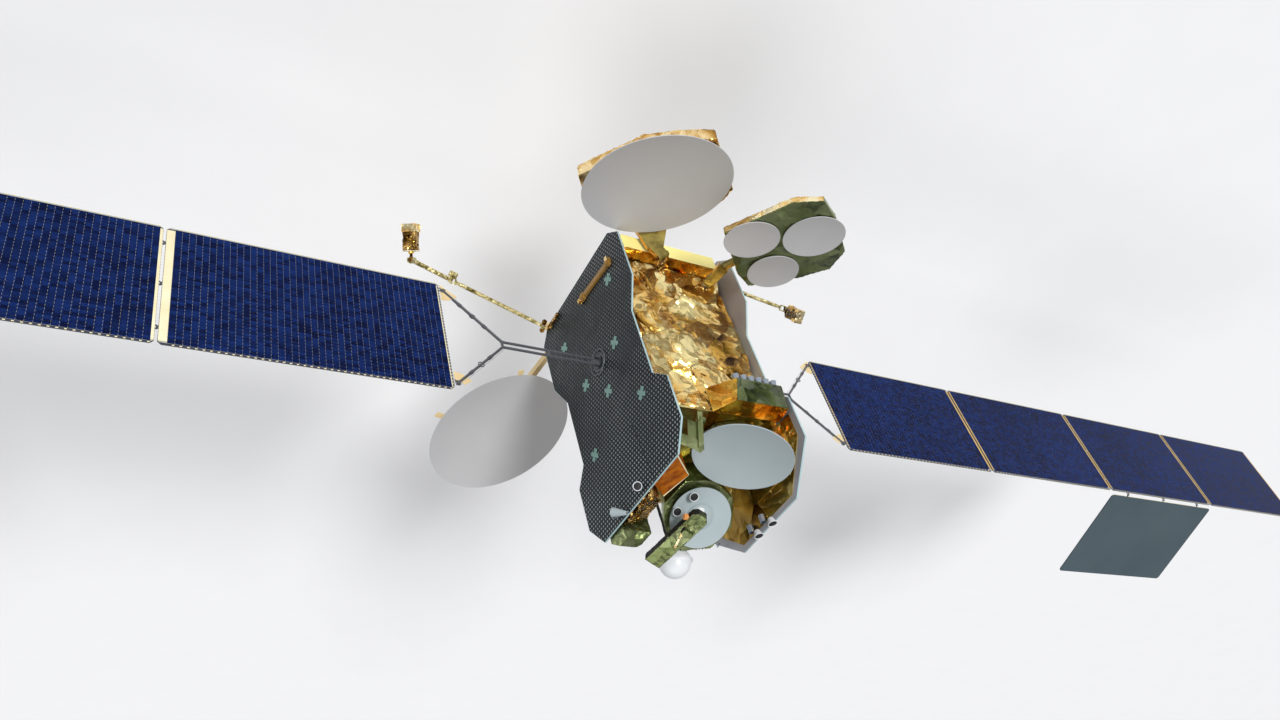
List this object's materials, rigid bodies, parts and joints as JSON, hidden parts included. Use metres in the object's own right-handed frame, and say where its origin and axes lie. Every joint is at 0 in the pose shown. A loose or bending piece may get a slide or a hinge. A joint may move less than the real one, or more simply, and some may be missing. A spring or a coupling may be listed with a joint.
{
  "type": "geostationary communications satellite",
  "caption": "Communications satellite with folding solar wings, deployable reflectors, Earth-deck antennas and jointed thruster booms, deployed.",
  "frame": {"origin": "centre of the launch adapter ring's lower face", "axes": "+Z from the adapter ring to the Earth deck, X along the solar wings, -Y the foil-covered side"},
  "size_m": [39.396, 8.9852, 6.5017],
  "materials": {
    "solar_cells": "glossy",
    "radiator_tiles": "gloss",
    "reflector_skin": "matt",
    "dish_white": "satin",
    "carbon_tube": "satin",
    "drive_metal": "satin",
    "bare_aluminium": "satin",
    "engine_metal": "satin",
    "horn_metal": "satin",
    "foil_olive": "crinkled foil",
    "foil_gold": "crinkled foil"
  },
  "bodies": {
    "spacecraft_body": {"equipment_body": "foil_gold", "anti_earth_platform": "foil_gold", "adapter_ring": "bare_aluminium", "main_engine": "engine_metal", "radiator_plus_x": "radiator_tiles", "radiator_minus_x": "radiator_tiles", "earth_deck": "foil_gold", "feed_tower": "foil_olive", "feed_horns": "horn_metal", "deck_dish_large": "dish_white", "deck_dish_medium": "dish_white", "deck_dish_small": "dish_white", "dish_housings": "foil_olive", "deck_fairing_plus_x": "foil_gold", "deck_fairing_minus_x": "foil_gold", "ball_antenna": "dish_white", "tilted_tray": "foil_olive", "side_feed_unit": "foil_gold", "side_feed_box": "foil_olive", "feed_bar": "foil_gold", "small_antennas": "horn_metal", "radiator_fittings_plus_x": "foil_gold", "radiator_fittings_minus_x": "foil_gold", "drive_ring_plus_x": "drive_metal", "drive_ring_minus_x": "drive_metal", "foil_side_bracket": "foil_gold", "triple_bracket": "foil_gold", "far_side_bracket": "foil_gold", "boom_base_plus_x": "foil_gold", "boom_base_minus_x": "foil_gold"},
    "drive_plus_x": {"drive_hub_plus_x": "drive_metal"},
    "yoke_plus_x": {"yoke_plus_x": "carbon_tube"},
    "panel_1_plus_x": {"panel_1_plus_x": "solar_cells"},
    "panel_2_plus_x": {"panel_2_plus_x": "solar_cells"},
    "panel_3_plus_x": {"panel_3_plus_x": "solar_cells"},
    "panel_4_plus_x": {"panel_4_plus_x": "solar_cells"},
    "lateral_plus_x": {"lateral_panel_plus_x": "solar_cells"},
    "drive_minus_x": {"drive_hub_minus_x": "drive_metal"},
    "yoke_minus_x": {"yoke_minus_x": "carbon_tube"},
    "panel_1_minus_x": {"panel_1_minus_x": "solar_cells"},
    "panel_2_minus_x": {"panel_2_minus_x": "solar_cells"},
    "panel_3_minus_x": {"panel_3_minus_x": "solar_cells"},
    "panel_4_minus_x": {"panel_4_minus_x": "solar_cells"},
    "lateral_minus_x": {"lateral_panel_minus_x": "solar_cells"},
    "foil_side_antenna": {"foil_side_reflector": "reflector_skin", "foil_side_tray": "foil_olive", "foil_side_arm": "foil_gold"},
    "triple_antenna": {"triple_reflector": "reflector_skin", "triple_tray": "foil_olive", "triple_arm": "foil_gold"},
    "far_side_antenna": {"far_side_reflector": "reflector_skin", "far_side_tray": "foil_olive", "far_side_arm": "foil_gold"},
    "upper_arm_plus_x": {"boom_upper_arm_plus_x": "foil_gold"},
    "forearm_plus_x": {"boom_forearm_plus_x": "foil_gold"},
    "pod_plus_x": {"thruster_pod_plus_x": "foil_gold"},
    "upper_arm_minus_x": {"boom_upper_arm_minus_x": "foil_gold"},
    "forearm_minus_x": {"boom_forearm_minus_x": "foil_gold"},
    "pod_minus_x": {"thruster_pod_minus_x": "foil_gold"}
  },
  "joints": [
    {"name": "wing_turn_plus_x", "type": "hinge", "parent": "spacecraft_body", "child": "drive_plus_x", "pos_m": [1.165, 0, 2.15], "axis": [1, 0, 0], "continuous": true},
    {"name": "wing_fold_plus_x", "type": "hinge", "parent": "drive_plus_x", "child": "yoke_plus_x", "pos_m": [1.262, 0, 2.15], "axis": [0, 0, -1], "range_deg": [-90, 0]},
    {"name": "panel_1_hinge_plus_x", "type": "hinge", "parent": "yoke_plus_x", "child": "panel_1_plus_x", "pos_m": [3.818, -0.025, 2.15], "axis": [0, 0, -1], "range_deg": [0, 180]},
    {"name": "panel_2_hinge_plus_x", "type": "hinge", "parent": "panel_1_plus_x", "child": "panel_2_plus_x", "pos_m": [7.793, 0.02, 2.15], "axis": [0, 0, -1], "range_deg": [-180, 0]},
    {"name": "panel_3_hinge_plus_x", "type": "hinge", "parent": "panel_2_plus_x", "child": "panel_3_plus_x", "pos_m": [11.768, -0.02, 2.15], "axis": [0, 0, -1], "range_deg": [0, 180]},
    {"name": "panel_4_hinge_plus_x", "type": "hinge", "parent": "panel_3_plus_x", "child": "panel_4_plus_x", "pos_m": [15.743, 0.038, 2.15], "axis": [0, 0, -1], "range_deg": [-180, 0]},
    {"name": "lateral_hinge_plus_x", "type": "hinge", "parent": "panel_3_plus_x", "child": "lateral_plus_x", "pos_m": [13.7555, 0.02, 3.295], "axis": [1, 0, 0], "range_deg": [-106.9, 73.1]},
    {"name": "wing_turn_minus_x", "type": "hinge", "parent": "spacecraft_body", "child": "drive_minus_x", "pos_m": [-1.165, 0, 2.15], "axis": [1, 0, 0], "continuous": true},
    {"name": "wing_fold_minus_x", "type": "hinge", "parent": "drive_minus_x", "child": "yoke_minus_x", "pos_m": [-1.262, 0, 2.15], "axis": [0, 0, 1], "range_deg": [-90, 0]},
    {"name": "panel_1_hinge_minus_x", "type": "hinge", "parent": "yoke_minus_x", "child": "panel_1_minus_x", "pos_m": [-3.818, -0.025, 2.15], "axis": [0, 0, 1], "range_deg": [0, 180]},
    {"name": "panel_2_hinge_minus_x", "type": "hinge", "parent": "panel_1_minus_x", "child": "panel_2_minus_x", "pos_m": [-7.793, 0.02, 2.15], "axis": [0, 0, 1], "range_deg": [-180, 0]},
    {"name": "panel_3_hinge_minus_x", "type": "hinge", "parent": "panel_2_minus_x", "child": "panel_3_minus_x", "pos_m": [-11.768, -0.02, 2.15], "axis": [0, 0, 1], "range_deg": [0, 180]},
    {"name": "panel_4_hinge_minus_x", "type": "hinge", "parent": "panel_3_minus_x", "child": "panel_4_minus_x", "pos_m": [-15.743, 0.038, 2.15], "axis": [0, 0, 1], "range_deg": [-180, 0]},
    {"name": "lateral_hinge_minus_x", "type": "hinge", "parent": "panel_3_minus_x", "child": "lateral_minus_x", "pos_m": [-13.7555, 0.02, 3.295], "axis": [1, 0, 0], "range_deg": [-106.9, 73.1]},
    {"name": "foil_side_stow", "type": "hinge", "parent": "spacecraft_body", "child": "foil_side_antenna", "pos_m": [0.36, -1.45, 0.83], "axis": [0.7756, 0.4488, 0.4438], "range_deg": [-81.9, 0]},
    {"name": "triple_stow", "type": "hinge", "parent": "spacecraft_body", "child": "triple_antenna", "pos_m": [-0.55, -1.32, 1.1], "axis": [0.8883, -0.2501, -0.3851], "range_deg": [-61, 0]},
    {"name": "far_side_stow", "type": "hinge", "parent": "spacecraft_body", "child": "far_side_antenna", "pos_m": [0.55, 1.4, 0.81], "axis": [-0.918, 0.23, -0.323], "range_deg": [-83.7, 0]},
    {"name": "boom_root_plus_x", "type": "hinge", "parent": "spacecraft_body", "child": "upper_arm_plus_x", "pos_m": [1.24, 1.2, 0.2], "axis": [-0.2244, 0.9745, 0], "range_deg": [-10, 35]},
    {"name": "boom_elbow_plus_x", "type": "hinge", "parent": "upper_arm_plus_x", "child": "forearm_plus_x", "pos_m": [2.76, 1.55, -0.95], "axis": [-0.2433, -0.7904, -0.5622], "range_deg": [-30, 30]},
    {"name": "boom_wrist_plus_x", "type": "hinge", "parent": "forearm_plus_x", "child": "pod_plus_x", "pos_m": [3.98, 0.52, -0.03], "axis": [0.7432, 0.5755, -0.3412], "range_deg": [-40, 40]},
    {"name": "boom_root_minus_x", "type": "hinge", "parent": "spacecraft_body", "child": "upper_arm_minus_x", "pos_m": [-1.24, 1.2, 0.2], "axis": [0.688, -0.7258, 0], "range_deg": [-10, 35]},
    {"name": "boom_elbow_minus_x", "type": "hinge", "parent": "upper_arm_minus_x", "child": "forearm_minus_x", "pos_m": [-2.2, 0.29, -1.19], "axis": [-0.5844, 0.8023, -0.1216], "range_deg": [-30, 30]},
    {"name": "boom_wrist_minus_x", "type": "hinge", "parent": "forearm_minus_x", "child": "pod_minus_x", "pos_m": [-3.4, -0.39, 0.09], "axis": [-0.009, 0.8865, 0.4625], "range_deg": [-40, 40]}
  ],
  "couplings": [
    {"joint": "panel_1_hinge_plus_x", "follows": "wing_fold_plus_x", "ratio": -2},
    {"joint": "panel_2_hinge_plus_x", "follows": "wing_fold_plus_x", "ratio": 2},
    {"joint": "panel_3_hinge_plus_x", "follows": "wing_fold_plus_x", "ratio": -2},
    {"joint": "panel_4_hinge_plus_x", "follows": "wing_fold_plus_x", "ratio": 2},
    {"joint": "panel_1_hinge_minus_x", "follows": "wing_fold_minus_x", "ratio": -2},
    {"joint": "panel_2_hinge_minus_x", "follows": "wing_fold_minus_x", "ratio": 2},
    {"joint": "panel_3_hinge_minus_x", "follows": "wing_fold_minus_x", "ratio": -2},
    {"joint": "panel_4_hinge_minus_x", "follows": "wing_fold_minus_x", "ratio": 2},
    {"joint": "triple_stow", "follows": "foil_side_stow", "ratio": 0.74481}
  ]
}
